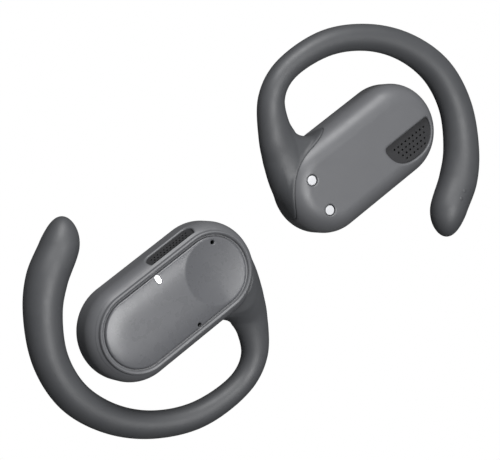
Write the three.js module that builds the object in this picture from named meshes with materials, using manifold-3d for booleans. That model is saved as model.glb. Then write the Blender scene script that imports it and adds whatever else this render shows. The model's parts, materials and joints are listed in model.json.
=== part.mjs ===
// A pair of open-ear headphones with flexible ear hooks, lying flat on a table.
//
// Each earpiece is a stadium-shaped pod held by a hook that curls round it.
// The left earpiece lies with its touch panel up. The right one is its mirror
// image, lies with its touch panel down, and is turned half a turn.
//
// An earpiece is modelled in its own frame, in millimetres: x runs along the
// pod towards the root of the hook, y runs across the pod towards the side
// vent, z runs outwards through the touch panel, and z = 0 is mid-depth.

import * as THREE from "three";
import { mergeVertices } from "three/addons/utils/BufferGeometryUtils.js";
import Module from "manifold-3d";

const wasm = await Module();
wasm.setup();

// ---- Driving dimensions ----

const POD = {
  halfRun: 9.7, // half the distance between the centres of the two round ends
  radius: 9.8,
  halfDepth: 5.55,
  panelShoulder: 4.1, // radius of the edge round the touch panel
  skinShoulder: 4.4, // radius of the edge round the face that lies on the skin
  wall: 1.3,
  cavityCorner: 2.0,
  mouthRadius: 7.95, // opening under the touch panel
  lipHeight: 3.4,
};

const PANEL = { radius: 6.95, bottom: 4.5, edge: 5.3, crown: 5.75 };
const FRAME = {
  inner: 7.3, // the bead stands this far from the pod's centre line
  step: 7.05, // a low step closes most of the gap to the panel
  stepTop: 4.96,
  seat: 7.85, // the leg reaches down into the pod's mouth inside this
  legBottom: 4.45,
  neck: 7.6, // below the leg the frame draws in, clear of the vent mesh
  flange: 5.0, // the flange rests on the pod's shoulder at this height
  outer: 8.4,
  slope: 0.28,
  top: 5.56,
  beadWidth: 0.8,
  ledge: 6.6, // the panel is bonded to a ledge that reaches in this far
  ledgeBottom: 4.05,
  ledgeTop: 4.4,
};
const DIMPLE = { x: 10.0, radius: 6.6, depth: 0.75 };
const MIC_HOLES = [
  { x: 12.6, y: 5.0 },
  { x: 1.3, y: -6.4 },
];
const MIC_HOLE_RADIUS = 0.42;
const LED = { x: -0.8, y: 5.9, halfWidth: 0.45, halfLength: 0.95 };

const CONTACT = {
  x: 13.4,
  y: 3.63,
  radius: 1.0,
  sunk: 0.15,
  head: 0.5,
  stem: 0.55,
  inside: -3.8, // the stem ends at this height, inside the pod
};
const GRILLE = {
  x: -10.1,
  y: 0.9,
  radius: 6.2,
  plate: 0.25,
  margin: 0.6, // the plate reaches this far past the opening
  rows: 4,
  pitch: 1.5,
  hole: 0.35,
  rim: 0.9, // no hole comes nearer than this to the opening's edge
};
const VENT = {
  x: 5.5,
  tilt: THREE.MathUtils.degToRad(28), // the vent faces between sideways and outwards
  halfLength: 5.7,
  halfWidth: 1.5,
  sunk: 0.7,
  plate: 0.3,
  columns: 8,
  pitch: 1.2,
  rowPitch: 0.75,
  hole: 0.25,
};

// Stations along the hook, from the tip of the tail to the root inside the pod:
// x, y, z, half the width of the oval section, and half its depth along z.
const HOOK_STATIONS = [
  [-6.55, 24.45, -4.8, 3.5, 3.6],
  [-10.2, 20.55, -4.45, 3.85, 3.8],
  [-16.35, 16.8, -3.8, 4.05, 3.95],
  [-20.6, 12.35, -3.5, 3.8, 3.7],
  [-24.7, 4.0, -3.25, 3.5, 3.4],
  [-25.0, -4.6, -3.3, 3.3, 3.3],
  [-21.3, -12.9, -3.4, 3.0, 3.0],
  [-14.8, -19.5, -3.25, 2.77, 2.8],
  [-5.6, -23.9, -3.0, 2.68, 2.7],
  [5.5, -24.2, -2.7, 2.5, 2.5],
  [10.6, -21.2, -2.45, 2.75, 2.55],
  [13.55, -14.5, -1.8, 3.75, 2.8],
  [13.85, -10.5, -0.9, 4.65, 3.4],
  [14.0, -3.4, 0.2, 5.5, 4.3],
];
const HOOK = {
  tipLength: 6.2, // length of the rounded end of the tail
  pivotStation: 8.5, // the middle of the bow, where the hook bends
  ballRadius: 2.7,
  ballClearance: 0.25,
  wireRadius: 0.4,
  boreRadius: 0.6,
  tongue: 0.6, // thickness of the skin that laps the end of the pod
};
const TONGUE = { fromX: 4.0, toY: 1.5, bottom: -4.3, top: 3.2 };
const FERRULE = {
  radius: 1.1,
  length: 3.0,
  clearance: 0.2,
  station: 1.6, // the wire ends here inside the tail
  anchorStation: 12.9, // and here inside the pod
};

const DRIVER = {
  x: -9.7,
  front: -3.85,
  radius: 7.1,
  skirt: 0.6, // thickness of the basket and the yoke
  basketInner: 5.0,
  basketBack: -0.6,
  gasket: { inner: 6.0, outer: 6.9, thickness: 0.5 },
  yoke: { inner: 4.15, outer: 4.7, open: -2.4, back: -0.1 },
  magnet: { radius: 3.1, front: -1.75, back: -0.85 },
  topPlate: { radius: 3.25, front: -2.4, back: -1.85 },
  coil: { inner: 3.5, outer: 3.85, front: -2.8, back: -1.25 },
  cone: { edge: 5.8, roll: 4.9, dome: 3.9, thickness: 0.15, plane: -3.1, rollHeight: 0.2, domeHeight: 0.25 },
};
const BATTERY = { x: 5.3, radius: 6.0, bottom: -4.0, top: 1.2 };
const BOARD = { halfRun: 9.2, radius: 7.7, bottom: 1.6, top: 2.4 };
const PROCESSOR = { x: -6, y: 0, length: 7, width: 6, height: 1.1 };
const MICROPHONE = { length: 3.0, width: 2.2, height: 1.0, inward: 0.85 };
const LED_CHIP = { length: 1.6, width: 0.8, height: 0.6 };
const TOUCH_SENSOR = { radius: 4.9, thickness: 0.2, below: 0.1 };
const CASE_MAGNET = { x: 15.1, radius: 1.5, bottom: -4.1, top: -2.6 };

const GAP = 0.15; // clearance between neighbouring pieces
const EMBED = 0.05; // a cutting shape reaches this far past the face it cuts
const ARC_STEPS = 9; // facets in half a turn of the pod's ends
const ROUND_SIDES = 12; // facets round a hook section
const TURNED_SIDES = 20; // facets round the small turned pieces
const WIRE_SIDES = 6;

// How the two earpieces lie on the table.
const LAY = {
  left: { x: -18.4, y: -13.5, z: 0, turn: THREE.MathUtils.degToRad(35.1) },
  right: { x: 25.4, y: 14.6, z: -2.42, turn: THREE.MathUtils.degToRad(215.1) },
};

// ---- Finishes ----

function finish(color, roughness, metalness = 0) {
  return new THREE.MeshStandardMaterial({ color, roughness, metalness });
}

const FINISH = {
  shell: () => finish(0x515357, 0.5),
  panel: () => finish(0x5b5d61, 0.28),
  silicone: () => finish(0x4a4b4e, 0.65),
  dark: () => finish(0x222224, 0.8),
  lens: () => finish(0xffffff, 0.3),
  contact: () => finish(0xd8d8da, 0.25, 1),
  steel: () => finish(0x9a9b9e, 0.35, 1),
  board: () => finish(0x1d5b34, 0.6),
  copper: () => finish(0xb87333, 0.35, 1),
  foam: () => finish(0x2b2b2b, 0.95),
  film: () => finish(0x33312e, 0.5),
};

// ---- Turning geometry into solids and back ----

function toSolid(geometry) {
  const bare = new THREE.BufferGeometry();
  bare.setAttribute("position", geometry.getAttribute("position").clone());
  if (geometry.index) bare.setIndex(geometry.index.clone());
  const merged = mergeVertices(bare, 1e-4);
  const corners = merged.index.array;
  const kept = [];
  for (let i = 0; i < corners.length; i += 3) {
    const [a, b, c] = [corners[i], corners[i + 1], corners[i + 2]];
    if (a !== b && b !== c && c !== a) kept.push(a, b, c);
  }
  return new wasm.Manifold(
    new wasm.Mesh({
      numProp: 3,
      vertProperties: new Float32Array(merged.getAttribute("position").array),
      triVerts: new Uint32Array(kept),
    }),
  );
}

function toGeometry(solid) {
  const mesh = solid.getMesh();
  const geometry = new THREE.BufferGeometry();
  geometry.setAttribute("position", new THREE.BufferAttribute(mesh.vertProperties, 3));
  geometry.setIndex(new THREE.BufferAttribute(mesh.triVerts, 1));
  geometry.computeVertexNormals();
  return geometry;
}

// Joins rows of points into one skin. Rows follow each other round or along the
// shape; a row that is a closed loop is joined end to end.
function skin(rows, { rowsLoop = false, pointsLoop = false }) {
  const perRow = rows[0].length;
  const positions = rows.flat().flatMap((p) => [p.x, p.y, p.z]);
  const index = [];
  const lastRow = rowsLoop ? rows.length : rows.length - 1;
  const lastPoint = pointsLoop ? perRow : perRow - 1;
  for (let j = 0; j < lastRow; j++) {
    const next = (j + 1) % rows.length;
    for (let i = 0; i < lastPoint; i++) {
      const up = (i + 1) % perRow;
      const a = j * perRow + i;
      const b = next * perRow + i;
      const c = next * perRow + up;
      const d = j * perRow + up;
      index.push(a, b, d, b, c, d);
    }
  }
  const geometry = new THREE.BufferGeometry();
  geometry.setAttribute("position", new THREE.Float32BufferAttribute(positions, 3));
  geometry.setIndex(index);
  return toSolid(geometry);
}

// A profile of [distance from the centre line, height] swept round a stadium.
// It runs anticlockwise, from the axis back to the axis or round on itself.
function stadium(profile, { halfRun = POD.halfRun, loop = false } = {}) {
  const rows = [];
  for (const side of [1, -1]) {
    for (let i = 0; i <= ARC_STEPS; i++) {
      const angle = Math.PI * (i / ARC_STEPS - 0.5) + (side < 0 ? Math.PI : 0);
      rows.push(
        profile.map(
          ([d, z]) =>
            new THREE.Vector3(side * halfRun + d * Math.cos(angle), d * Math.sin(angle), z),
        ),
      );
    }
  }
  return skin(rows, { rowsLoop: true, pointsLoop: loop });
}

// Points of an arc in a profile, from one angle to another, in degrees.
function arc(centreD, centreZ, radius, fromDegrees, toDegrees, steps = 4) {
  return Array.from({ length: steps + 1 }, (_, i) => {
    const angle = THREE.MathUtils.degToRad(
      fromDegrees + ((toDegrees - fromDegrees) * i) / steps,
    );
    return [centreD + radius * Math.cos(angle), centreZ + radius * Math.sin(angle)];
  });
}

// A solid of revolution about z through (x, y), from a profile of [radius, z].
function turned(profile, x = 0, y = 0, sides = TURNED_SIDES) {
  const points = profile.map(([r, z]) => new THREE.Vector2(r, z));
  const geometry = new THREE.LatheGeometry(points, sides);
  geometry.rotateX(Math.PI / 2); // the lathe turns about y
  return toSolid(geometry).translate([x, y, 0]);
}

function disc(radius, bottom, top, x, y, sides = TURNED_SIDES) {
  const geometry = new THREE.CylinderGeometry(radius, radius, top - bottom, sides);
  geometry.rotateX(Math.PI / 2);
  geometry.translate(x, y, (top + bottom) / 2);
  return toSolid(geometry);
}

function ring(inner, outer, bottom, top, x, y, sides = TURNED_SIDES) {
  return disc(outer, bottom, top, x, y, sides).subtract(
    disc(inner, bottom - EMBED, top + EMBED, x, y, sides),
  );
}

function block(length, width, bottom, top, x, y) {
  const geometry = new THREE.BoxGeometry(length, width, top - bottom);
  geometry.translate(x, y, (top + bottom) / 2);
  return toSolid(geometry);
}

function ball(radius, centre) {
  const geometry = new THREE.SphereGeometry(radius, 16, 10);
  geometry.translate(centre.x, centre.y, centre.z);
  return toSolid(geometry);
}

// A flat plate cut from a shape, from its bottom to its top.
function plate(shape, bottom, top) {
  const geometry = new THREE.ExtrudeGeometry(shape, {
    depth: top - bottom,
    bevelEnabled: false,
    curveSegments: 9,
  });
  geometry.translate(0, 0, bottom);
  return toSolid(geometry);
}

// ---- Outlines ----

// A slot shape lying along x, centred on the origin.
function slotShape(halfLength, halfWidth) {
  const run = halfLength - halfWidth;
  const shape = new THREE.Shape();
  shape.absarc(run, 0, halfWidth, -Math.PI / 2, Math.PI / 2);
  shape.absarc(-run, 0, halfWidth, Math.PI / 2, (3 * Math.PI) / 2);
  shape.closePath();
  return shape;
}

// The half disc of the speaker opening, grown by a margin.
function grilleShape(margin) {
  const { x, y, radius } = GRILLE;
  const shape = new THREE.Shape();
  shape.moveTo(x - radius - margin, y - margin);
  shape.lineTo(x + radius + margin, y - margin);
  shape.absarc(x, y, radius + margin, 0, Math.PI);
  shape.closePath();
  return shape;
}

function punch(shape, x, y, radius) {
  const hole = new THREE.Path();
  const corners = 4;
  for (let i = 0; i < corners; i++) {
    const angle = (-2 * Math.PI * i) / corners;
    const point = [x + radius * Math.cos(angle), y + radius * Math.sin(angle)];
    if (i === 0) hole.moveTo(...point);
    else hole.lineTo(...point);
  }
  hole.closePath();
  shape.holes.push(hole);
}

// ---- The pod ----

// The outside of the pod, shrunk by a margin.
function podEnvelope(margin = 0) {
  const radius = POD.radius - margin;
  const half = POD.halfDepth - margin;
  const top = POD.panelShoulder - margin;
  const bottom = POD.skinShoulder - margin;
  return stadium([
    [0, -half],
    ...arc(radius - bottom, -half + bottom, bottom, -90, 0),
    ...arc(radius - top, half - top, top, 0, 90),
    [0, half],
  ]);
}

function podCavity() {
  const radius = POD.radius - POD.wall;
  const floor = -POD.halfDepth + POD.wall;
  const corner = POD.cavityCorner;
  const above = POD.halfDepth + 1;
  return stadium([
    [0, floor],
    ...arc(radius - corner, floor + corner, corner, -90, 0, 2),
    [radius, POD.lipHeight - (radius - POD.mouthRadius)],
    [POD.mouthRadius, POD.lipHeight],
    [POD.mouthRadius, above],
    [0, above],
  ]);
}

// The stretch of the pod's end that the hook's skin laps, as a box.
function tongueWindow(margin) {
  const far = POD.halfRun + POD.radius + 1;
  const fromX = TONGUE.fromX - margin;
  const toY = TONGUE.toY + margin;
  const fromY = -POD.radius - 1;
  return block(
    far - fromX,
    toY - fromY,
    TONGUE.bottom - margin,
    TONGUE.top + margin,
    (far + fromX) / 2,
    (toY + fromY) / 2,
  );
}

// Places a solid made about the origin, with z outwards, on the side vent.
function onVent(solid) {
  const reach = POD.panelShoulder;
  const along = new THREE.Vector3(1, 0, 0);
  const out = new THREE.Vector3(0, Math.cos(VENT.tilt), Math.sin(VENT.tilt));
  const up = new THREE.Vector3().crossVectors(out, along);
  const centre = new THREE.Vector3(
    VENT.x,
    POD.radius - POD.panelShoulder,
    POD.halfDepth - POD.panelShoulder,
  ).addScaledVector(out, reach);
  const place = new THREE.Matrix4().makeBasis(along, up, out).setPosition(centre);
  return solid.transform(place.elements);
}

function grilleOpening() {
  const through = plate(grilleShape(0), -POD.halfDepth - 1, 0);
  const seat = plate(
    grilleShape(GRILLE.margin + GAP),
    -POD.halfDepth + POD.wall - EMBED,
    -POD.halfDepth + POD.wall + GRILLE.plate + 2 * GAP,
  );
  return through.add(seat);
}

function contactPlaces() {
  return [1, -1].map((side) => ({ x: CONTACT.x, y: side * CONTACT.y }));
}

function podShell(wireBore, hookFlare) {
  let shell = podEnvelope().subtract(podCavity());
  const lapped = tongueWindow(GAP).add(hookFlare);
  shell = shell.subtract(lapped.subtract(podEnvelope(HOOK.tongue + GAP)));
  shell = shell.subtract(wireBore);
  shell = shell.subtract(grilleOpening());
  const ventCut = plate(slotShape(VENT.halfLength, VENT.halfWidth + GAP / 2), -2, 2);
  shell = shell.subtract(onVent(ventCut));
  for (const { x, y } of contactPlaces()) {
    const face = -POD.halfDepth;
    const head = face + CONTACT.sunk + CONTACT.head + GAP;
    shell = shell.subtract(disc(CONTACT.radius + GAP, face - 1, head, x, y, 20));
    shell = shell.subtract(disc(CONTACT.stem + GAP, face - 1, 0, x, y, 12));
  }
  return shell;
}

// The raised ring round the touch panel: a ledge under the panel, a leg down
// into the pod's mouth, and a flange that rests on the shoulder and slopes up to
// a narrow bead. The ledge makes way for the light pipe and the microphone port.
function frontFrame() {
  const { inner, step, stepTop, seat, flange, outer, slope, top, beadWidth } = FRAME;
  const { ledge, ledgeBottom, ledgeTop, neck, legBottom } = FRAME;
  const bevel = 0.1;
  const body = stadium(
    [
      [ledge, ledgeBottom],
      [neck, ledgeBottom],
      [neck, legBottom],
      [seat, legBottom],
      [seat, flange],
      [outer, flange - slope],
      [outer, flange - bevel],
      [outer - beadWidth + slope, top - bevel / 2],
      [outer - beadWidth, top],
      [inner + bevel, top],
      [inner, top - bevel],
      [inner, stepTop],
      [step, stepTop],
      [step, ledgeTop],
      [ledge, ledgeTop],
    ],
    { loop: true },
  );
  const [, port] = MIC_HOLES;
  return body
    .subtract(ledSlot(GAP))
    .subtract(disc(MIC_HOLE_RADIUS + GAP, 0, PANEL.crown, port.x, port.y, 12));
}

// The height of the crowned panel at a distance from the pod's centre line.
function panelHeight(distance) {
  const share = distance / PANEL.radius;
  return PANEL.crown - (PANEL.crown - PANEL.edge) * share ** 4;
}

// The cutter for the finger dimple: the cap of a large sphere.
function dimpleCutter() {
  const { x, radius, depth } = DIMPLE;
  const sphere = (radius ** 2 + depth ** 2) / (2 * depth);
  const bottom = panelHeight(0) - depth;
  const rows = 4;
  const widest = Math.asin((radius * 1.02) / sphere);
  const profile = [[0, bottom]];
  for (let i = 1; i <= rows; i++) {
    const angle = (widest * i) / rows;
    profile.push([sphere * Math.sin(angle), bottom + sphere * (1 - Math.cos(angle))]);
  }
  const [edge] = profile[rows];
  profile.push([edge, PANEL.crown + 1], [0, PANEL.crown + 1]);
  return turned(profile, x, 0, 28);
}

// The light pipe, or with a margin the hole it stands in.
function ledSlot(margin) {
  const slot = slotShape(LED.halfLength + margin, LED.halfWidth + margin);
  const bottom = BOARD.top + 1.0 - margin;
  const top = margin > 0 ? PANEL.crown + 1 : panelHeight(LED.y) - 0.02;
  return plate(slot, bottom, top).rotate([0, 0, 90]).translate([LED.x, LED.y, 0]);
}

function touchPanel() {
  const steps = 5;
  const crown = [];
  for (let i = 0; i < steps; i++) {
    const distance = PANEL.radius * (1 - (i / steps) ** 1.5);
    crown.push([distance, panelHeight(distance)]);
  }
  let panel = stadium([
    [0, PANEL.bottom],
    [PANEL.radius, PANEL.bottom],
    ...crown,
    [0, panelHeight(0)],
  ]);
  panel = panel.subtract(dimpleCutter());
  for (const { x, y } of MIC_HOLES) {
    panel = panel.subtract(disc(MIC_HOLE_RADIUS, 0, PANEL.crown + 1, x, y, 12));
  }
  return panel.subtract(ledSlot(0.1));
}

function sideVent() {
  const shape = slotShape(VENT.halfLength - GAP, VENT.halfWidth - GAP / 2);
  for (const row of [-1, 0, 1]) {
    const shift = row === 0 ? VENT.pitch / 2 : 0;
    const count = row === 0 ? VENT.columns - 1 : VENT.columns;
    for (let column = 0; column < count; column++) {
      const x = (column - (VENT.columns - 1) / 2) * VENT.pitch + shift;
      punch(shape, x, row * VENT.rowPitch, VENT.hole);
    }
  }
  return onVent(plate(shape, -VENT.sunk - VENT.plate, -VENT.sunk));
}

function speakerGrille() {
  const { x, y, radius, margin, rows, pitch, hole, rim } = GRILLE;
  const shape = grilleShape(margin);
  const rowPitch = pitch * Math.cos(Math.PI / 6); // each row sits in the hollows of the last
  const most = Math.floor(radius / pitch) + 1;
  for (let row = 0; row < rows; row++) {
    const rise = rim + row * rowPitch;
    const shift = (row % 2) * (pitch / 2);
    for (let column = -most; column <= most; column++) {
      const run = column * pitch + shift;
      if (Math.hypot(run, rise) > radius - rim) continue;
      punch(shape, x + run, y + rise, hole);
    }
  }
  const bottom = -POD.halfDepth + POD.wall + GAP;
  return plate(shape, bottom, bottom + GRILLE.plate);
}

function contactPin(place) {
  const face = -POD.halfDepth + CONTACT.sunk;
  const head = disc(CONTACT.radius, face, face + CONTACT.head, place.x, place.y, 20);
  const stem = disc(CONTACT.stem, face + CONTACT.head - EMBED, CONTACT.inside, place.x, place.y, 12);
  return head.add(stem);
}

// ---- The hook ----

const hookLine = new THREE.CatmullRomCurve3(
  HOOK_STATIONS.map(([x, y, z]) => new THREE.Vector3(x, y, z)),
);
const hookSection = new THREE.CatmullRomCurve3(
  HOOK_STATIONS.map(([, , , width, depth], i) => new THREE.Vector3(i, width, depth)),
  false,
  "catmullrom",
);
const LAST_STATION = HOOK_STATIONS.length - 1;
const PIVOT_SHARE = HOOK.pivotStation / LAST_STATION;
const FERRULE_SHARE = FERRULE.station / LAST_STATION;
const ANCHOR_SHARE = FERRULE.anchorStation / LAST_STATION;
const pivot = hookLine.getPoint(PIVOT_SHARE);

// Half the width and half the depth of the hook at a share of the way from tip
// to root, grown by a margin. The tip is rounded off.
function hookSize(share, margin = 0) {
  const { y: width, z: depth } = hookSection.getPoint(share);
  const fromTip = hookLine.getPoint(share).distanceTo(hookLine.getPoint(0));
  const short = Math.max(0, 1 - fromTip / HOOK.tipLength);
  const rounding = Math.sqrt(1 - short ** 2);
  return [width * rounding + margin, depth * rounding + margin];
}

// A tube along the hook's line between two shares of its length.
function hookTube(sizeAt, from, to, steps, sides = ROUND_SIDES) {
  const up = new THREE.Vector3(0, 0, 1);
  const rows = [];
  for (let j = 0; j <= steps; j++) {
    const share = from + ((to - from) * j) / steps;
    const centre = hookLine.getPoint(share);
    const tangent = hookLine.getTangent(share);
    const side = new THREE.Vector3().crossVectors(tangent, up).normalize();
    const over = new THREE.Vector3().crossVectors(side, tangent);
    const [width, depth] = sizeAt(share);
    const row = [];
    for (let i = 0; i < sides; i++) {
      const angle = (2 * Math.PI * i) / sides;
      row.push(
        centre
          .clone()
          .addScaledVector(side, width * Math.cos(angle))
          .addScaledVector(over, depth * Math.sin(angle)),
      );
    }
    if (j === 0) rows.push(row.map(() => centre.clone()));
    if (width > 0) rows.push(row);
    if (j === steps) rows.push(row.map(() => centre.clone()));
  }
  return skin(rows, { pointsLoop: true });
}

function ferrule(share, margin) {
  const centre = hookLine.getPoint(share);
  const tangent = hookLine.getTangent(share);
  const geometry = new THREE.CylinderGeometry(
    FERRULE.radius + margin,
    FERRULE.radius + margin,
    FERRULE.length + 2 * margin,
    12,
  );
  geometry.applyQuaternion(
    new THREE.Quaternion().setFromUnitVectors(new THREE.Vector3(0, 1, 0), tangent),
  );
  geometry.translate(centre.x, centre.y, centre.z);
  return toSolid(geometry);
}

function hookPieces() {
  const beyond = 0.4 / LAST_STATION;
  const bore = () => [HOOK.boreRadius, HOOK.boreRadius];
  const wire = () => [HOOK.wireRadius, HOOK.wireRadius];
  const socket = ball(HOOK.ballRadius + HOOK.ballClearance, pivot);

  const tailSide = hookTube(hookSize, 0, PIVOT_SHARE, 24);
  const tailBore = hookTube(bore, FERRULE_SHARE, PIVOT_SHARE + beyond, 20, WIRE_SIDES);
  const tail = tailSide
    .add(ball(HOOK.ballRadius, pivot))
    .subtract(tailBore)
    .subtract(ferrule(FERRULE_SHARE, FERRULE.clearance));
  const tailWire = hookTube(wire, FERRULE_SHARE, PIVOT_SHARE, 20, WIRE_SIDES).subtract(
    ferrule(FERRULE_SHARE, GAP),
  );

  const flare = hookTube(hookSize, PIVOT_SHARE, 1, 12);
  const flareWithGap = hookTube((share) => hookSize(share, GAP), PIVOT_SHARE, 1, 12);
  const rootBore = hookTube(bore, PIVOT_SHARE, 1, 12, WIRE_SIDES);
  const root = flare
    .add(podEnvelope().intersect(tongueWindow(0)))
    .subtract(podEnvelope(HOOK.tongue))
    .subtract(socket)
    .subtract(rootBore);
  const rootWire = hookTube(wire, PIVOT_SHARE, ANCHOR_SHARE, 11, WIRE_SIDES)
    .subtract(socket)
    .subtract(ferrule(ANCHOR_SHARE, GAP));

  return { tail, tailWire, root, rootWire, rootBore, flareWithGap };
}

// ---- What the pod holds inside ----

function driverBasket() {
  const { x, radius, front, skirt, basketInner, basketBack } = DRIVER;
  const rim = front + skirt;
  return turned(
    [
      [basketInner, basketBack - skirt],
      [radius - skirt, basketBack - skirt],
      [radius - skirt, rim],
      [radius, rim],
      [radius, basketBack],
      [basketInner, basketBack],
      [basketInner, basketBack - skirt],
    ],
    x,
  );
}

function driverYoke() {
  const { inner, outer, open, back } = DRIVER.yoke;
  return turned(
    [
      [0, back - DRIVER.skirt],
      [inner, back - DRIVER.skirt],
      [inner, open],
      [outer, open],
      [outer, back],
      [0, back],
    ],
    DRIVER.x,
  );
}

// A shallow dome with a rolled surround, as one thin moving skin.
function diaphragm() {
  const { edge, roll, dome, thickness, plane, rollHeight, domeHeight } = DRIVER.cone;
  const front = (d) => {
    if (d >= dome) {
      const across = (d - roll) / (edge - roll);
      return plane - rollHeight * Math.sqrt(Math.max(0, 1 - across ** 2));
    }
    return plane - domeHeight * (1 - (d / dome) ** 2);
  };
  const distances = [0, dome / 2, dome, (dome + roll) / 2, roll, (roll + edge) / 2, edge];
  const down = distances.map((d) => [d, front(d)]);
  const back = distances.map((d) => [d, front(d) + thickness]).reverse();
  return turned([...down, ...back], DRIVER.x);
}

function mainBoard() {
  const { radius, bottom, top, halfRun } = BOARD;
  return stadium([[0, bottom], [radius, bottom], [radius, top], [0, top]], { halfRun });
}

// A chip that stands on the board.
function onBoard({ length, width, height }, x, y) {
  const foot = BOARD.top + GAP;
  return block(length, width, foot, foot + height, x, y);
}

// ---- One earpiece ----

function earpiece(side) {
  const group = new THREE.Group();
  const add = (name, solid, material) => {
    const mesh = new THREE.Mesh(toGeometry(solid), material());
    mesh.name = `${side}_${name}`;
    group.add(mesh);
  };
  const hook = hookPieces();

  add("pod_shell", podShell(hook.rootBore, hook.flareWithGap), FINISH.shell);
  add("front_frame", frontFrame(), FINISH.shell);
  add("touch_panel", touchPanel(), FINISH.panel);
  add("led_lens", ledSlot(0), FINISH.lens);
  add("side_vent_mesh", sideVent(), FINISH.dark);
  add("speaker_mesh", speakerGrille(), FINISH.dark);
  contactPlaces().forEach((place, i) => {
    add(`charging_contact_${i + 1}`, contactPin(place), FINISH.contact);
  });

  add("hook_root", hook.root, FINISH.silicone);
  add("hook_tail", hook.tail, FINISH.silicone);
  add("hook_wire_root", hook.rootWire, FINISH.steel);
  add("hook_wire_tail", hook.tailWire, FINISH.steel);
  add("wire_anchor", ferrule(ANCHOR_SHARE, 0), FINISH.steel);
  add("wire_end_ferrule", ferrule(FERRULE_SHARE, 0), FINISH.steel);

  const { x: driverX, front, gasket, magnet, topPlate, coil } = DRIVER;
  const gasketBack = front + gasket.thickness;
  const stack = (part, rear) => disc(part.radius, rear, part.back, driverX, 0);
  add("driver_gasket", ring(gasket.inner, gasket.outer, front, gasketBack, driverX, 0), FINISH.foam);
  add("driver_basket", driverBasket(), FINISH.dark);
  add("driver_yoke", driverYoke(), FINISH.steel);
  add("driver_magnet", stack(magnet, magnet.front + GAP), FINISH.steel);
  add("driver_top_plate", stack(topPlate, topPlate.front), FINISH.steel);
  add("voice_coil", ring(coil.inner, coil.outer, coil.front, coil.back, driverX, 0), FINISH.copper);
  add("diaphragm", diaphragm(), FINISH.film);

  add("battery_cell", disc(BATTERY.radius, BATTERY.bottom, BATTERY.top, BATTERY.x, 0), FINISH.steel);
  add("main_board", mainBoard(), FINISH.board);
  add("processor", onBoard(PROCESSOR, PROCESSOR.x, PROCESSOR.y), FINISH.steel);
  MIC_HOLES.forEach(({ x, y }, i) => {
    const { inward } = MICROPHONE;
    add(`microphone_${i + 1}`, onBoard(MICROPHONE, x * inward, y * inward), FINISH.steel);
  });
  add("led_chip", onBoard(LED_CHIP, LED.x, LED.y), FINISH.film);
  const sensorTop = PANEL.bottom - TOUCH_SENSOR.below;
  const sensorBottom = sensorTop - TOUCH_SENSOR.thickness;
  add("touch_sensor", disc(TOUCH_SENSOR.radius, sensorBottom, sensorTop, DIMPLE.x, 0), FINISH.film);
  const { x: magnetX, radius: magnetRadius, bottom, top } = CASE_MAGNET;
  add("case_magnet", disc(magnetRadius, bottom, top, magnetX, 0, 16), FINISH.steel);
  return group;
}

const headphones = new THREE.Group();
for (const side of ["left", "right"]) {
  const group = earpiece(side);
  const { x, y, z, turn } = LAY[side];
  group.position.set(x, y, z);
  group.rotation.z = turn;
  if (side === "right") group.scale.z = -1;
  headphones.add(group);
}

// The origin is the middle of the pair's footprint, on the table.
headphones.updateMatrixWorld(true);
const bounds = new THREE.Box3().setFromObject(headphones, true);
for (const group of headphones.children) {
  group.position.x -= (bounds.min.x + bounds.max.x) / 2;
  group.position.y -= (bounds.min.y + bounds.max.y) / 2;
  group.position.z -= bounds.min.z;
}

export default headphones;
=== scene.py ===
"""Looks for a pair of open-ear headphones: satin pods, soft hooks, and the stage they lie on.

Each earpiece is modelled once in its own frame, in millimetres: x runs along the pod towards the root
of the hook, y runs across the pod towards the side vent, and z runs out through the touch panel. It is
then placed over the frame's left and right earpieces. Round-edged bodies are described by a signed
distance to their surface, negative inside, and skinned by a net of small faces.
"""

import json
import math

import bpy
import numpy as np
from mathutils import Matrix, Vector


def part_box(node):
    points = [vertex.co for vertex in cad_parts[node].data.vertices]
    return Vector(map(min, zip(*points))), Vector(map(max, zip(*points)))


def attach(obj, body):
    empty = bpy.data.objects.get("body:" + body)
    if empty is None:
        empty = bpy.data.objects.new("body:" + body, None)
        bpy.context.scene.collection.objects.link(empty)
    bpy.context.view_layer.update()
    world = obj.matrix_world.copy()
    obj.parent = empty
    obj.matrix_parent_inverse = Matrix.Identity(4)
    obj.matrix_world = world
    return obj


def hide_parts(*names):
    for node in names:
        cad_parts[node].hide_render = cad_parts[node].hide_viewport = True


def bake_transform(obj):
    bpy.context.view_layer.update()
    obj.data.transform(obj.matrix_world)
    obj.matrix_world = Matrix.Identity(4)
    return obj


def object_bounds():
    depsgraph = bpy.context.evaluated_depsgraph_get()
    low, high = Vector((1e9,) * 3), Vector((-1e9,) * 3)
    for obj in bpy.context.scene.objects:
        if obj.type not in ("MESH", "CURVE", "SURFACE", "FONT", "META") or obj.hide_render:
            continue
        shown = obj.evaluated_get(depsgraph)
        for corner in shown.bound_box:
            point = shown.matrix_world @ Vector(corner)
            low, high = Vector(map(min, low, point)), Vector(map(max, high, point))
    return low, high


MM = 0.001
SIDES = ("left", "right")

# ---- Driving dimensions, in millimetres ----

POD_RUN = 9.7  # from the middle of the pod to the centre of each round end
POD_RADIUS = 9.8
POD_HALF_DEPTH = 5.55
PANEL_SHOULDER = 4.1
SKIN_SHOULDER = 4.4
POD_WALL = 1.3
POD_FLOOR = -POD_HALF_DEPTH + POD_WALL
POD_MOUTH = 7.95
CAVITY_TOP = 3.4
CAVITY_CORNER = 2.0

RIM_TOP = 5.56  # the crest of the ring round the panel
PANEL_RADIUS = 6.95
PANEL_BOTTOM = 4.5
PANEL_EDGE = 5.3
PANEL_CROWN = 5.75
DIMPLE_X = 10.0
DIMPLE_RADIUS = 6.6
DIMPLE_DEPTH = 0.75
MIC_HOLES = ((12.6, 5.0), (1.3, -6.4))
MIC_RADIUS = 0.42
LED = (-0.8, 5.9)
LED_HALF_WIDTH = 0.45
LED_HALF_LENGTH = 0.8

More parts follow.
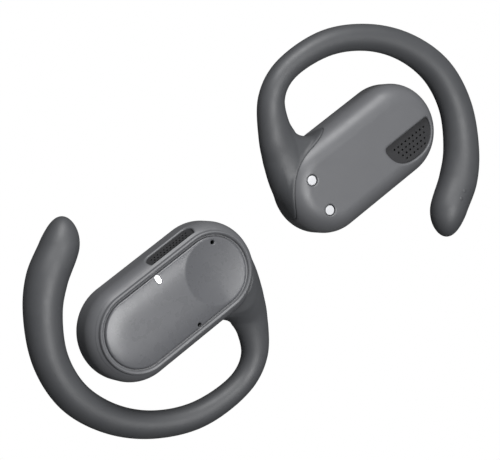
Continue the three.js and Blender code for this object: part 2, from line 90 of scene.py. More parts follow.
CONTACT_RADIUS = 1.0
CONTACT_GAP = 0.17
CONTACT_SUNK = 0.15
CONTACT_WELL = 0.9
CONTACT_LIP = 0.12
CONTACT_EDGE = 0.15
CONTACT_STEM_RADIUS = 0.55

GRILLE = (-10.4, 0.9)
GRILLE_HALF_LENGTH = 6.3
GRILLE_DEPTH_ACROSS = 5.9
GRILLE_POWER = 2.4
GRILLE_CORNER = 1.2
GRILLE_CUT = 0.5
GRILLE_LIP = 0.5
GRILLE_PLATE = 0.22
GRILLE_EDGE = 0.35  # how far the plate reaches under the edge of its opening
GRILLE_ROWS = (9, 8, 7, 6)
GRILLE_PITCH = 1.06
GRILLE_ROW_PITCH = 1.03
GRILLE_FIRST_ROW = 1.75
GRILLE_HOLE_RADIUS = 0.24
GRILLE_HOLES_ALONG = -0.45

VENT_X = 5.5
VENT_TILT = math.radians(28)
VENT_HALF_LENGTH = 5.7
VENT_HALF_WIDTH = 1.5
VENT_SUNK = 0.7
VENT_CUT = 3
VENT_LIP = 0.45
VENT_PLATE = 0.25
VENT_PITCH = 0.8
VENT_ROW_PITCH = 0.62
VENT_HOLE_RADIUS = 0.2

# Stations along the hook from the tip to the root: x, y, z, half width, half depth.
HOOK_STATIONS = (
    (-6.55, 24.45, -4.8, 3.5, 3.6),
    (-10.2, 20.55, -4.45, 3.85, 3.8),
    (-16.35, 16.8, -3.8, 4.05, 3.95),
    (-20.6, 12.35, -3.5, 3.8, 3.7),
    (-24.7, 4.0, -3.25, 3.5, 3.4),
    (-25.0, -4.6, -3.3, 3.3, 3.3),
    (-21.3, -12.9, -3.4, 3.0, 3.0),
    (-14.8, -19.5, -3.25, 2.77, 2.8),
    (-5.6, -23.9, -3.0, 2.68, 2.7),
    (5.5, -24.2, -2.7, 2.5, 2.5),
    (10.6, -21.2, -2.45, 2.75, 2.55),
    (13.55, -14.5, -1.8, 3.75, 2.8),
    (13.85, -10.5, -0.9, 4.65, 3.4),
    (14.0, -3.4, 0.2, 5.5, 4.3),
)
# Two more stations inside the pod, where the tube fades out unseen.
ROOT_FADE = (
    (14.0, 1.0, 0.9, 4.3, 3.1),
    (14.0, 4.6, 1.4, 1.6, 1.2),
)
TIP_LENGTH = 6.2

# Raised dots near the tail's tip, counted and placed along the hook's evenly spaced samples.
MARK_DOTS = {"left": 1, "right": 2}
MARK_FIRST = 30
MARK_STEP = 7
MARK_RADIUS = 0.5
MARK_HEIGHT = 0.22
MARK_SUNK = 0.12

# The soft skin that laps the end of the pod. Its outline is a rounded oval drawn on the pod's wall, in
# distance round the wall and height.
LAP_START_X = 3.4
LAP_MIDDLE = (11.9, -0.9)
LAP_HALF_RUN = 11.8
LAP_BELOW = 3.5
LAP_ABOVE = 4.4
LAP_LEAN = 0.35
LAP_POWER = 2.5
LAP_SKIN = 0.5
LAP_BED = 0.4
LAP_GAP = 0.1
BALL = 5.7  # the fillet between the hook and the pod
BALL_EDGE = 0.2  # the fillet at the lap's outline, and how far in from it the fillet is full
BALL_FADE = 0.9
BALL_SUNK = 0.35
BALL_SUNK_END = 13.0

CELL = 0.17


# ---- Distances ----


def soft_min(a, b, k):
    """The smaller of two distances, with the corner between them filled over a width k."""
    h = np.maximum(k - np.abs(a - b), 0) / k
    return np.minimum(a, b) - h * h * k / 4


def soft_max(a, b, k):
    return -soft_min(-a, -b, k)


def smooth(t):
    t = np.clip(t, 0, 1)
    return t * t * (3 - 2 * t)


def from_axis(x, y):
    """Distance from the pod's centre line, which runs between the centres of its ends."""
    return np.hypot(np.maximum(np.abs(x) - POD_RUN, 0), y)


def rounded(d, z, radius, half, corner):
    """Distance to a body of that radius and half height whose corners are rounded."""
    out_d = d - (radius - corner)
    out_z = np.abs(z) - (half - corner)
    outside = np.hypot(np.maximum(out_d, 0), np.maximum(out_z, 0))
    return outside + np.minimum(np.maximum(out_d, out_z), 0) - corner


def pod_outside(x, y, z):
    corner = np.where(z > 0, PANEL_SHOULDER, SKIN_SHOULDER)
    return rounded(from_axis(x, y), z, POD_RADIUS, POD_HALF_DEPTH, corner)


def slot(a, b, half_length, half_width):
    """Distance to a flat slot with round ends."""
    return np.hypot(np.maximum(np.abs(a) - (half_length - half_width), 0), b) - half_width


def grille_outline(x, y):
    """Distance to the half-oval speaker opening."""
    a = np.abs(x - GRILLE[0]) / GRILLE_HALF_LENGTH
    b = np.abs(y - GRILLE[1]) / GRILLE_DEPTH_ACROSS
    reach = (a**GRILLE_POWER + b**GRILLE_POWER) ** (1 / GRILLE_POWER)
    oval = (reach - 1) * GRILLE_DEPTH_ACROSS
    return soft_max(oval, GRILLE[1] - y, GRILLE_CORNER)


def vent_axes():
    along = np.array([1.0, 0.0, 0.0])
    out = np.array([0.0, math.cos(VENT_TILT), math.sin(VENT_TILT)])
    up = np.cross(out, along)
    centre = np.array([VENT_X, POD_RADIUS - PANEL_SHOULDER, POD_HALF_DEPTH - PANEL_SHOULDER])
    return along, up, out, centre + out * PANEL_SHOULDER


def lap_outline(x, y, z):
    """Distance to the lap's outline on the pod's wall, negative under the lap."""
    turn = np.arctan2(np.maximum(x - POD_RUN, 0), -y)
    turn = np.where(x > POD_RUN, turn, 0.0)
    run = np.minimum(x, POD_RUN) - LAP_START_X + POD_RADIUS * turn
    run = run - LAP_LEAN * np.maximum(z - LAP_MIDDLE[1], 0)
    a = np.abs(run - LAP_MIDDLE[0]) / LAP_HALF_RUN
    half = np.where(z > LAP_MIDDLE[1], LAP_ABOVE, LAP_BELOW)
    b = np.abs(z - LAP_MIDDLE[1]) / half
    reach = (a**LAP_POWER + b**LAP_POWER) ** (1 / LAP_POWER)
    slope = np.hypot(
        a ** (LAP_POWER - 1) / LAP_HALF_RUN,
        b ** (LAP_POWER - 1) / half,
    ) / np.maximum(reach, 1e-6) ** (LAP_POWER - 1)
    behind = np.where((y > 0) & (x < POD_RUN), 50.0, 0.0)
    return (reach - 1) / np.maximum(slope, 0.05) + behind


def pod_field(x, y, z):
    d = from_axis(x, y)
    # The soft lap of the hook lies in a shallow bed in the wall, with a ramp round its edge.
    bed = LAP_BED * smooth((LAP_GAP - lap_outline(x, y, z)) / 0.4)
    outside = pod_outside(x, y, z) + bed
    cavity = rounded(
        d,
        z - (POD_FLOOR + CAVITY_TOP) / 2,
        POD_RADIUS - POD_WALL,
        (CAVITY_TOP - POD_FLOOR) / 2,
        CAVITY_CORNER,
    )
    mouth = np.maximum(d - POD_MOUTH, -z)
    body = np.maximum(outside, -np.minimum(cavity, mouth))

    along, up, out, centre = vent_axes()
    rel = (x - centre[0], y - centre[1], z - centre[2])
    a = sum(r * v for r, v in zip(rel, along))
    b = sum(r * v for r, v in zip(rel, up))
    c = sum(r * v for r, v in zip(rel, out))
    vent = np.maximum(slot(a, b, VENT_HALF_LENGTH, VENT_HALF_WIDTH), -(c + VENT_CUT))
    body = soft_max(body, -vent, VENT_LIP)

    grille = np.maximum(grille_outline(x, y), z - POD_FLOOR - GRILLE_CUT)
    body = soft_max(body, -grille, GRILLE_LIP)

    for side in (1, -1):
        reach = np.hypot(x - CONTACT[0], y - side * CONTACT[1])
        well = np.maximum(reach - CONTACT_RADIUS - CONTACT_GAP, z + POD_HALF_DEPTH - CONTACT_WELL)
        body = soft_max(body, -well, CONTACT_LIP)
    return body


def crown_height(d):
    return PANEL_CROWN - (PANEL_CROWN - PANEL_EDGE) * (d / PANEL_RADIUS) ** 4


def panel_height(d, x, y):
    """Height of the crowned panel with its finger dimple, whose rim follows the crown."""
    crown = crown_height(d)
    reach = np.maximum(np.hypot(x - DIMPLE_X, y), 1e-6)
    share = reach / DIMPLE_RADIUS
    rim_x = DIMPLE_X + (x - DIMPLE_X) / share
    rim_crown = crown_height(from_axis(rim_x, y / share))
    deepest = PANEL_CROWN - DIMPLE_DEPTH
    bowl = deepest + (rim_crown - deepest) * share**2
    return soft_min(crown, bowl, 0.06)


def panel_field(x, y, z):
    d = from_axis(x, y)
    body = soft_max(z - panel_height(d, x, y), d - PANEL_RADIUS, 0.35)
    body = np.maximum(body, PANEL_BOTTOM - z)
    for hole_x, hole_y in MIC_HOLES:
        body = soft_max(body, MIC_RADIUS - np.hypot(x - hole_x, y - hole_y), 0.10)
    opening = slot(y - LED[1], x - LED[0], LED_HALF_LENGTH + 0.06, LED_HALF_WIDTH + 0.06)
    return np.maximum(body, -opening)


# ---- The hook's line ----


def spline(points, share):
    """Catmull-Rom curve through points at shares from 0 to 1, spaced by the root of their distance."""
    points = np.array(points, float)
    count = len(points)
    place = np.clip(share, 0, 1) * (count - 1)
    first = np.minimum(place.astype(int), count - 2)
    t = (place - first)[:, None]
    p1, p2 = points[first], points[first + 1]
    p0 = np.where((first > 0)[:, None], points[np.maximum(first - 1, 0)], 2 * p1 - p2)
    after = np.minimum(first + 2, count - 1)
    p3 = np.where((first < count - 2)[:, None], points[after], 2 * p2 - p1)

    def gap(a, b):
        return np.maximum(np.linalg.norm((b - a)[:, :3], axis=1, keepdims=True), 1e-6) ** 0.5

    g0, g1, g2 = gap(p0, p1), gap(p1, p2), gap(p2, p3)
    t1 = ((p1 - p0) / g0 - (p2 - p0) / (g0 + g1) + (p2 - p1) / g1) * g1
    t2 = ((p2 - p1) / g1 - (p3 - p1) / (g1 + g2) + (p3 - p2) / g2) * g1
    a = 2 * p1 - 2 * p2 + t1 + t2
    b = -3 * p1 + 3 * p2 - 2 * t1 - t2
    return ((a * t + b) * t + t1) * t + p1


def hook_line(samples=420):
    """Centres, directions, half sizes and their growth along the hook, evenly spaced."""
    dense = spline(HOOK_STATIONS + ROOT_FADE, np.linspace(0, 1, 4000))
    travel = np.concatenate([[0], np.cumsum(np.linalg.norm(np.diff(dense[:, :3], axis=0), axis=1))])
    even = np.linspace(0, travel[-1], samples)
    rows = np.stack([np.interp(even, travel, dense[:, i]) for i in range(5)], axis=1)
    centre, size = rows[:, :3], rows[:, 3:]
    tangent = np.gradient(centre, axis=0)
    tangent /= np.linalg.norm(tangent, axis=1, keepdims=True)
    side = np.cross(tangent, [0, 0, 1.0])
    side /= np.linalg.norm(side, axis=1, keepdims=True)
    over = np.cross(side, tangent)
    growth = np.gradient(size, axis=0) / (even[1] - even[0])
    return centre, tangent, side, over, size, growth


LINE = hook_line()


def hook_tube(points):
    """Distance to the hook's oval tube and its outward direction, for an array of points."""
    centre, tangent, side, over, size, growth = LINE
    nearest = np.empty(len(points), int)
    for start in range(0, len(points), 20000):
        part = points[start : start + 20000]
        square = (part**2).sum(1)[:, None] - 2 * part @ centre.T + (centre**2).sum(1)
        nearest[start : start + 20000] = square.argmin(1)
    rel = points - centre[nearest]
    u = (rel * side[nearest]).sum(1)
    v = (rel * over[nearest]).sum(1)
    along = (rel * tangent[nearest]).sum(1)
    step = np.linalg.norm(centre[1] - centre[0])
    place = np.clip(nearest + along / step, 0, len(centre) - 1)
    low = np.minimum(place.astype(int), len(centre) - 2)
    part = (place - low)[:, None]
    half = size[low] * (1 - part) + size[low + 1] * part
    # The tail's end is a rounded cap: the section shrinks over its last few millimetres.
    from_tip = place * step + np.where(nearest == 0, np.minimum(along, 0), 0)
    short = np.clip(1 - from_tip / TIP_LENGTH, 0, 1.5)
    k0 = np.hypot(u / half[:, 0], v / half[:, 1])
    k0 = np.sqrt(k0**2 + short**2)
    taper = (u**2 * growth[nearest, 0] / half[:, 0] ** 3) + (v**2 * growth[nearest, 1] / half[:, 1] ** 3)
    facing = (
        side[nearest] * (u / half[:, 0] ** 2)[:, None]
        + over[nearest] * (v / half[:, 1] ** 2)[:, None]
        - tangent[nearest] * (taper + short / TIP_LENGTH)[:, None]
    )
    slope = np.maximum(np.linalg.norm(facing, axis=1), 0.05)
    tube = k0 * (k0 - 1) / slope
    tube = np.maximum(tube, np.where(nearest == len(centre) - 1, along, -9.0))
    facing /= slope[:, None]
    return tube, facing


def pod_facing(x, y, z):
    """The pod's outward directions at an array of points, as rows."""
    d = np.maximum(from_axis(x, y), 1e-9)
    corner = np.where(z > 0, PANEL_SHOULDER, SKIN_SHOULDER)
    out_d = d - (POD_RADIUS - corner)
    out_z = np.abs(z) - (POD_HALF_DEPTH - corner)
    both = (out_d > 0) & (out_z > 0)
    part_d = np.where(both, out_d, out_d > out_z)
    part_z = np.where(both, out_z, out_d <= out_z)
    length = np.hypot(part_d, part_z)
    ahead = np.sign(x) * np.maximum(np.abs(x) - POD_RUN, 0) / d
    flat = part_d / length
    return np.stack([ahead * flat, y / d * flat, np.sign(z) * part_z / length], axis=-1)


def rolled(a, b, cosine, radius):
    """Two bodies joined by the fillet that a ball of that radius leaves as it rolls between them."""
    cosine = np.clip(cosine, -0.95, 0.97)
    da, db = a - radius, b - radius
    between = (da < cosine * db) & (db < cosine * da)
    square = (da**2 + db**2 - 2 * cosine * da * db) / (1 - cosine**2)
    return np.where(between, radius - np.sqrt(np.maximum(square, 0)), np.minimum(a, b))


def hook_field(x, y, z):
    shape = np.broadcast(x, y, z).shape
    points = np.stack([np.broadcast_to(v, shape).ravel() for v in (x, y, z)], axis=1)
    tube = np.full(len(points), 9.0)
    coarse = LINE[0][::12]
    near = np.zeros(len(points), bool)
    for start in range(0, len(points), 200000):
        part = points[start : start + 200000]
        square = (part**2).sum(1)[:, None] - 2 * part @ coarse.T + (coarse**2).sum(1)
        near[start : start + 200000] = square.min(1) < 12.0**2
    found, facing = hook_tube(points[near])
    tube[near] = found
    cosine = np.ones(len(points))
    cosine[near] = (facing * pod_facing(*points[near].T)).sum(1)
    tube, cosine = tube.reshape(shape), cosine.reshape(shape)
    outside = pod_outside(x, y, z)
    outline = lap_outline(x, y, z)
    ball = BALL_EDGE + (BALL - BALL_EDGE) * smooth(-outline / BALL_FADE)
    sunk = BALL_SUNK * smooth((BALL_SUNK_END - x) / 3)
    filled = rolled(tube, outside + sunk, cosine, ball)
    joined = soft_min(filled, outside, 0.3)
    lap = soft_max(joined, outline + LAP_GAP, 0.3)
    skin = np.maximum(lap, -(outside + LAP_SKIN))
    clear_of_pod = np.maximum(tube, LAP_GAP - outside)
    return np.minimum(skin, clear_of_pod)


# ---- Skinning ----


def surface_net(field, low, high, cell):
    """Vertices and quads of the surface where the field is zero, settled on it."""
    low = np.array(low, float)
    counts = np.ceil((np.array(high) - low) / cell).astype(int) + 1
    axes = [low[i] + cell * np.arange(counts[i]) for i in range(3)]
    y, z = np.meshgrid(axes[1], axes[2], indexing="ij")
    slabs = [field(np.full_like(y, x), y, z) for x in axes[0]]
    values = np.stack(slabs)
    inside = values < 0
    corner_offsets = np.array([(i, j, k) for i in (0, 1) for j in (0, 1) for k in (0, 1)])
    nx, ny, nz = counts - 1
    filled = sum(
        inside[i : i + nx, j : j + ny, k : k + nz].astype(np.int8) for i, j, k in corner_offsets
    )
    mixed = (filled > 0) & (filled < 8)
    number = np.full(mixed.shape, -1)
    number[mixed] = np.arange(mixed.sum())
    at = np.argwhere(mixed)
    total = np.zeros((len(at), 3))
    hits = np.zeros(len(at))
    for a in corner_offsets:
        for axis in range(3):
            if a[axis]:
                continue
            b = a.copy()
            b[axis] = 1
            va = values[tuple((at + a).T)]
            vb = values[tuple((at + b).T)]
            crosses = (va < 0) != (vb < 0)
            share = np.where(crosses, va / np.where(crosses, va - vb, 1), 0)
            total += np.where(crosses[:, None], a + (b - a) * share[:, None], 0)
            hits += crosses
    points = low + cell * (at + total / hits[:, None])
    faces = []
    for axis in range(3):
        first = np.take(inside, range(counts[axis] - 1), axis)
        second = np.take(inside, range(1, counts[axis]), axis)
        edges = np.argwhere(first != second)
        others = [(axis + 1) % 3, (axis + 2) % 3]
        within = np.ones(len(edges), bool)
        for other in others:
            within &= (edges[:, other] > 0) & (edges[:, other] < counts[other] - 1)
        edges = edges[within]
        ea, eb = np.eye(3, dtype=int)[others[0]], np.eye(3, dtype=int)[others[1]]
        quad = np.stack(
            [
                number[tuple(edges.T)],
                number[tuple((edges - ea).T)],
                number[tuple((edges - ea - eb).T)],
                number[tuple((edges - eb).T)],
            ],
            axis=1,
        )
        reverse = ~inside[tuple(edges.T)]
        quad[reverse] = quad[reverse][:, ::-1]
        faces.append(quad)
    return settle(points, field, cell), np.concatenate(faces)


def settle(points, field, cell, rounds=2):
    """Moves points along the field's slope until they lie on its zero surface."""
    h = cell * 0.1
    for _ in range(rounds):
        value = field(*points.T)
        slope = np.stack(
            [
                (field(*(points + h * e).T) - field(*(points - h * e).T)) / (2 * h)
                for e in np.eye(3)
            ],
            axis=1,
        )
        steep = np.maximum((slope**2).sum(1), 0.05)
        step = (value / steep)[:, None] * slope
        length = np.linalg.norm(step, axis=1, keepdims=True)
        step *= np.minimum(1, 0.5 * cell / np.maximum(length, 1e-9))
        points = points - step
    return points


def swept_ring(profile, steps=64, straight=24):
    """A closed profile of (distance, height) swept round the pod's stadium."""
    profile = np.array(profile)
    rows = []
    for sign in (1, -1):
        for i in range(steps + 1):
            angle = math.pi * (i / steps - 0.5) + (math.pi if sign < 0 else 0)
            x = sign * POD_RUN + profile[:, 0] * math.cos(angle)
            y = profile[:, 0] * math.sin(angle)
            rows.append(np.stack([x, y, profile[:, 1]], axis=1))
        last, other = rows[-1], -sign
        for i in range(1, straight):
            moved = last.copy()
            moved[:, 0] += other * 2 * POD_RUN * i / straight
            rows.append(moved)
    count, per = len(rows), len(profile)
    faces = []
    for j in range(count):
        for i in range(per):
            a, b = j * per + i, ((j + 1) % count) * per + i
            up = (i + 1) % per - i
            faces.append((a, b, b + up, a + up))
    return np.concatenate(rows), np.array(faces)


def turned(profile, sides=48):
    """A solid of revolution about z from a profile of (radius, height), bottom to top."""
    points = []
    for radius, height in profile:
        for i in range(sides):
            angle = 2 * math.pi * i / sides
            points.append((radius * math.cos(angle), radius * math.sin(angle), height))
    faces = []
    for j in range(len(profile) - 1):
        for i in range(sides):
            nxt = (i + 1) % sides
            a, b = j * sides + i, j * sides + nxt
            faces.append((a, b, b + sides, a + sides))
    faces.append(tuple(range(sides))[::-1])
    faces.append(tuple(range((len(profile) - 1) * sides, len(profile) * sides)))
    return np.array(points), faces


def rounded_profile(corners, steps=5):
    """A closed profile with each corner (distance, height, radius) rounded by an arc."""
    made = []
    count = len(corners)
    for i, (d, z, radius) in enumerate(corners):
        here = np.array([d, z])
        before = np.array(corners[i - 1][:2]) - here
        after = np.array(corners[(i + 1) % count][:2]) - here
        before /= np.linalg.norm(before)
        after /= np.linalg.norm(after)
        half = math.acos(max(-1, min(1, before @ after))) / 2
        cut = radius / math.tan(half)
        middle = (before + after) / np.linalg.norm(before + after)
        centre = here + middle * radius / math.sin(half)
        start, end = here + before * cut - centre, here + after * cut - centre
        sweep = math.pi - 2 * half
        for j in range(steps + 1):
            t = j / steps
            mixed = (
                math.sin((1 - t) * sweep) * start + math.sin(t * sweep) * end
            ) / math.sin(sweep)
            made.append(centre + mixed)
    return made


# ---- Placing pieces ----

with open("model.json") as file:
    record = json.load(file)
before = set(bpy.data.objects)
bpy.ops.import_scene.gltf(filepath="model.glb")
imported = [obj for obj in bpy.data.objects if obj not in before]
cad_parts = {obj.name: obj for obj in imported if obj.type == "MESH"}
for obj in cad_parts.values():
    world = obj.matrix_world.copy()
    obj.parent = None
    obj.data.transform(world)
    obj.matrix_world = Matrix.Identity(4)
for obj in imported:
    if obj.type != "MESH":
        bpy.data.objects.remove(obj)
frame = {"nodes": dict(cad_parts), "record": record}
cad_low, cad_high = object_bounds()

MOUNTS = {m["name"]: m for m in frame["record"]["mounts"]}


def mount_place(name):
    mount = MOUNTS[name]
    return Vector(mount.get("pos_m") or mount["position_m"])


def earpiece_matrix(side):
    """From the earpiece's own frame, in millimetres, to the row frame, in metres."""
    low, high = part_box(f"{side}_front_frame")
    facing = 1 if side == "left" else -1
    height = high.z - RIM_TOP * MM if facing > 0 else low.z + RIM_TOP * MM
    centre = Vector(((low.x + high.x) / 2, (low.y + high.y) / 2, height))
    contacts = [mount_place(f"{side}_contact_face_{i}") for i in (1, 2)]
    towards = (contacts[0] + contacts[1]) / 2 - centre
    towards.z = 0
    towards.normalize()
    across = Vector((-towards.y, towards.x, 0))
    out = Vector((0, 0, facing))
    turn = Matrix((towards, across, out)).transposed().to_4x4()
    return Matrix.Translation(centre) @ turn @ Matrix.Scale(MM, 4)


PLACE = {side: earpiece_matrix(side) for side in SIDES}


def contact_place():
    """The charging contacts' place along and across the pod."""
    back = PLACE["left"].inverted()
    at = back @ mount_place("left_contact_face_1")
    return (at.x, abs(at.y))


CONTACT = contact_place()


def add_mesh(name, points, faces, side):
    """A smooth-shaded mesh object, given in the earpiece's frame and placed in the row frame."""
    matrix = np.array(PLACE[side])
    placed = np.array(points) @ matrix[:3, :3].T + matrix[:3, 3]
    faces = [tuple(f) for f in (faces.tolist() if isinstance(faces, np.ndarray) else faces)]
    if side == "right":
        faces = [f[::-1] for f in faces]
    mesh = bpy.data.meshes.new(name)
    mesh.from_pydata(placed.tolist(), [], faces)
    mesh.validate()
    mesh.polygons.foreach_set("use_smooth", [True] * len(mesh.polygons))
    mesh.update()
    obj = bpy.data.objects.new(name, mesh)
    bpy.context.scene.collection.objects.link(obj)
    return obj


def perforated(outline, holes, hole_radius, thickness, corners=14):
    """A thin plate with round holes and softened edges, from a closed outline of (x, y) points."""
    curve = bpy.data.curves.new("plate", "CURVE")
    curve.dimensions = "2D"
    curve.fill_mode = "BOTH"
    curve.extrude = thickness / 2
    curve.bevel_depth = 0.02
    curve.bevel_resolution = 1
    rings = [outline]
    for x, y in holes:
        ring = [
            (
                x + hole_radius * math.cos(2 * math.pi * i / corners),
                y + hole_radius * math.sin(2 * math.pi * i / corners),
            )
            for i in range(corners)
        ]
        rings.append(ring)
    for ring in rings:
        line = curve.splines.new("POLY")
        line.points.add(len(ring) - 1)
        for point, (x, y) in zip(line.points, ring):
            point.co = (x, y, 0, 1)
        line.use_cyclic_u = True
    holder = bpy.data.objects.new("plate", curve)
    bpy.context.scene.collection.objects.link(holder)
    bpy.context.view_layer.update()
    mesh = bpy.data.meshes.new_from_object(holder.evaluated_get(bpy.context.evaluated_depsgraph_get()))
    points = np.array([v.co[:] for v in mesh.vertices])
    faces = [tuple(p.vertices) for p in mesh.polygons]
    bpy.data.objects.remove(holder)
    bpy.data.curves.remove(curve)
    bpy.data.meshes.remove(mesh)
    return points, faces


# ---- Materials ----


def new_material(name):
    material = bpy.data.materials.new(name)
    material.use_nodes = True
    tree = material.node_tree
    tree.nodes.clear()
    output = tree.nodes.new("ShaderNodeOutputMaterial")
    shader = tree.nodes.new("ShaderNodeBsdfPrincipled")
    tree.links.new(shader.outputs[0], output.inputs[0])
    return material, tree, shader


def noise(tree, scale, detail=4.0, roughness=0.6, stretch=(1, 1, 1)):
    coords = tree.nodes.new("ShaderNodeTexCoord")
    mapping = tree.nodes.new("ShaderNodeMapping")
    mapping.inputs["Scale"].default_value = stretch
    made = tree.nodes.new("ShaderNodeTexNoise")
    made.inputs["Scale"].default_value = scale
    made.inputs["Detail"].default_value = detail
    made.inputs["Roughness"].default_value = roughness
    tree.links.new(coords.outputs["Object"], mapping.inputs["Vector"])
    tree.links.new(mapping.outputs[0], made.inputs["Vector"])
    return made.outputs[0]


def spread(tree, value, low, high):
    """A value from 0 to 1 mapped to a range."""
    made = tree.nodes.new("ShaderNodeMapRange")
    made.inputs["From Min"].default_value = 0.25
    made.inputs["From Max"].default_value = 0.75
    made.inputs["To Min"].default_value = low
    made.inputs["To Max"].default_value = high
    tree.links.new(value, made.inputs["Value"])
    return made.outputs[0]


def mix(tree, share, a, b):
    made = tree.nodes.new("ShaderNodeMix")
    made.data_type = "RGBA"
    tree.links.new(share, made.inputs["Factor"])
    for value, socket in ((a, made.inputs["A"]), (b, made.inputs["B"])):
        if isinstance(value, tuple):
            socket.default_value = (*value, 1)
        else:
            tree.links.new(value, socket)
    return made.outputs["Result"]


def finish(
    name,
    color,
    roughness,
    metallic=0.0,
    vary=0.06,
    grain=2600.0,
    grain_depth=0.006,
    sheen=0.0,
    coat=0.0,
    wear=0.35,
    brushed=False,
    specular=0.5,
):
    """A procedural finish: mottled colour, uneven gloss, fine grain, and edges that are worn lighter."""
    material, tree, shader = new_material(name)
    mottled = noise(tree, 130.0, 3.0)
    dark = tuple(c * (1 - vary) for c in color)
    light = tuple(min(1.0, c * (1 + vary)) for c in color)
    base = mix(tree, spread(tree, mottled, 0, 1), dark, light)
    geometry = tree.nodes.new("ShaderNodeNewGeometry")
    edge = tree.nodes.new("ShaderNodeMapRange")
    edge.inputs["From Min"].default_value = 0.57
    edge.inputs["From Max"].default_value = 0.72
    edge.inputs["To Max"].default_value = wear
    tree.links.new(geometry.outputs["Pointiness"], edge.inputs["Value"])
    worn = tuple(min(1.0, c * 1.7 + 0.02) for c in color)
    base = mix(tree, edge.outputs[0], base, worn)
    tree.links.new(base, shader.inputs["Base Color"])
    uneven = noise(tree, 420.0, 5.0)
    tree.links.new(
        spread(tree, uneven, roughness * 0.88, min(1.0, roughness * 1.12)),
        shader.inputs["Roughness"],
    )
    shader.inputs["Metallic"].default_value = metallic
    shader.inputs["Specular IOR Level"].default_value = specular
    shader.inputs["Sheen Weight"].default_value = sheen
    shader.inputs["Sheen Roughness"].default_value = 0.4
    shader.inputs["Coat Weight"].default_value = coat
    shader.inputs["Coat Roughness"].default_value = 0.3
    stretch = (1, 18, 18) if brushed else (1, 1, 1)
    bump = tree.nodes.new("ShaderNodeBump")
    bump.inputs["Strength"].default_value = 0.5
    bump.inputs["Distance"].default_value = grain_depth * MM
    tree.links.new(noise(tree, grain, 2.0, 0.5, stretch), bump.inputs["Height"])
    tree.links.new(bump.outputs[0], shader.inputs["Normal"])
    return material


def lamp_finish(name, color, strength):
    """A lit light pipe, its glow varying a little at random."""
    material, tree, shader = new_material(name)
    shader.inputs["Base Color"].default_value = (*color, 1)
    shader.inputs["Roughness"].default_value = 0.35
    glow = noise(tree, 900.0, 2.0)
    tree.links.new(spread(tree, glow, strength * 0.9, strength * 1.1), shader.inputs["Emission Strength"])
    shader.inputs["Emission Color"].default_value = (*color, 1)
    return material


FINISH = {
    "shell": finish("satin_shell", (0.110, 0.112, 0.118), 0.42, grain_depth=0.004, vary=0.03, wear=0.1),
    "panel": finish("satin_panel", (0.100, 0.102, 0.109), 0.28, grain_depth=0.002, vary=0.012, wear=0.1),
    "silicone": finish("soft_silicone", (0.060, 0.062, 0.066), 0.50, grain_depth=0.006, wear=0.0),
    "mesh": finish("acoustic_mesh", (0.030, 0.030, 0.032), 0.45, metallic=0.3),
    "lens": lamp_finish("status_light", (1.0, 1.0, 1.0), 3.0),
    "contact": finish("contact_plating", (0.56, 0.565, 0.58), 0.5, wear=0.05, specular=0.3),
    "steel": finish("brushed_steel", (0.42, 0.42, 0.43), 0.35, metallic=1.0, brushed=True),
    "magnet": finish("nickel_magnet", (0.55, 0.54, 0.52), 0.28, metallic=1.0),
    "cell": finish("cell_can", (0.48, 0.48, 0.50), 0.32, metallic=1.0, brushed=True),
    "shield": finish("tinned_shield", (0.60, 0.60, 0.62), 0.38, metallic=1.0),
    "board": finish("solder_mask", (0.010, 0.075, 0.030), 0.40, coat=0.4),
    "film": finish("polymer_film", (0.035, 0.032, 0.028), 0.4, coat=0.3),
    "copper": finish("copper_winding", (0.62, 0.28, 0.12), 0.32, metallic=1.0, brushed=True),
    "foam": finish("gasket_foam", (0.035, 0.035, 0.036), 0.95, grain=1500.0, grain_depth=0.05),
    "driver_plastic": finish("driver_plastic", (0.028, 0.028, 0.030), 0.5),
}


def dress(obj, slot_name):
    obj.data.materials.clear()
    obj.data.materials.append(FINISH[slot_name])


# ---- The pieces ----

REACH = POD_RUN + POD_RADIUS + 2 * CELL


def rim_profile():
    """The ring round the panel: an inner wall, a narrow crest, and a ledge down to the shoulder."""
    return rounded_profile(
        [
            (6.86, 4.44, 0.05),
            (6.86, 4.10, 0.05),
            (7.90, 4.10, 0.05),
            (7.90, 4.74, 0.03),
            (8.56, 4.22, 0.03),
            (8.60, 4.45, 0.05),
            (8.14, 4.84, 0.12),
            (8.00, 5.44, 0.16),
            (7.74, RIM_TOP + 0.02, 0.13),
            (7.42, 5.38, 0.18),
            (7.28, 4.96, 0.10),
            (7.01, 4.96, 0.05),
            (7.01, 4.44, 0.02),
        ]
    )


def contact_profile():
    face = -POD_HALF_DEPTH + CONTACT_SUNK
    made = [(0.02, face), (0.5, face + 0.004)]
    for i in range(7):
        angle = math.pi / 2 * i / 6
        radius = CONTACT_RADIUS - CONTACT_EDGE * (1 - math.sin(angle))
        made.append((radius, face + CONTACT_EDGE * (1 - math.cos(angle)) + 0.01))
    shoulder, stem, end = face + 0.6, CONTACT_STEM_RADIUS, -3.8
    made += [(CONTACT_RADIUS, shoulder), (stem, shoulder), (stem, end), (0.02, end)]
    return made


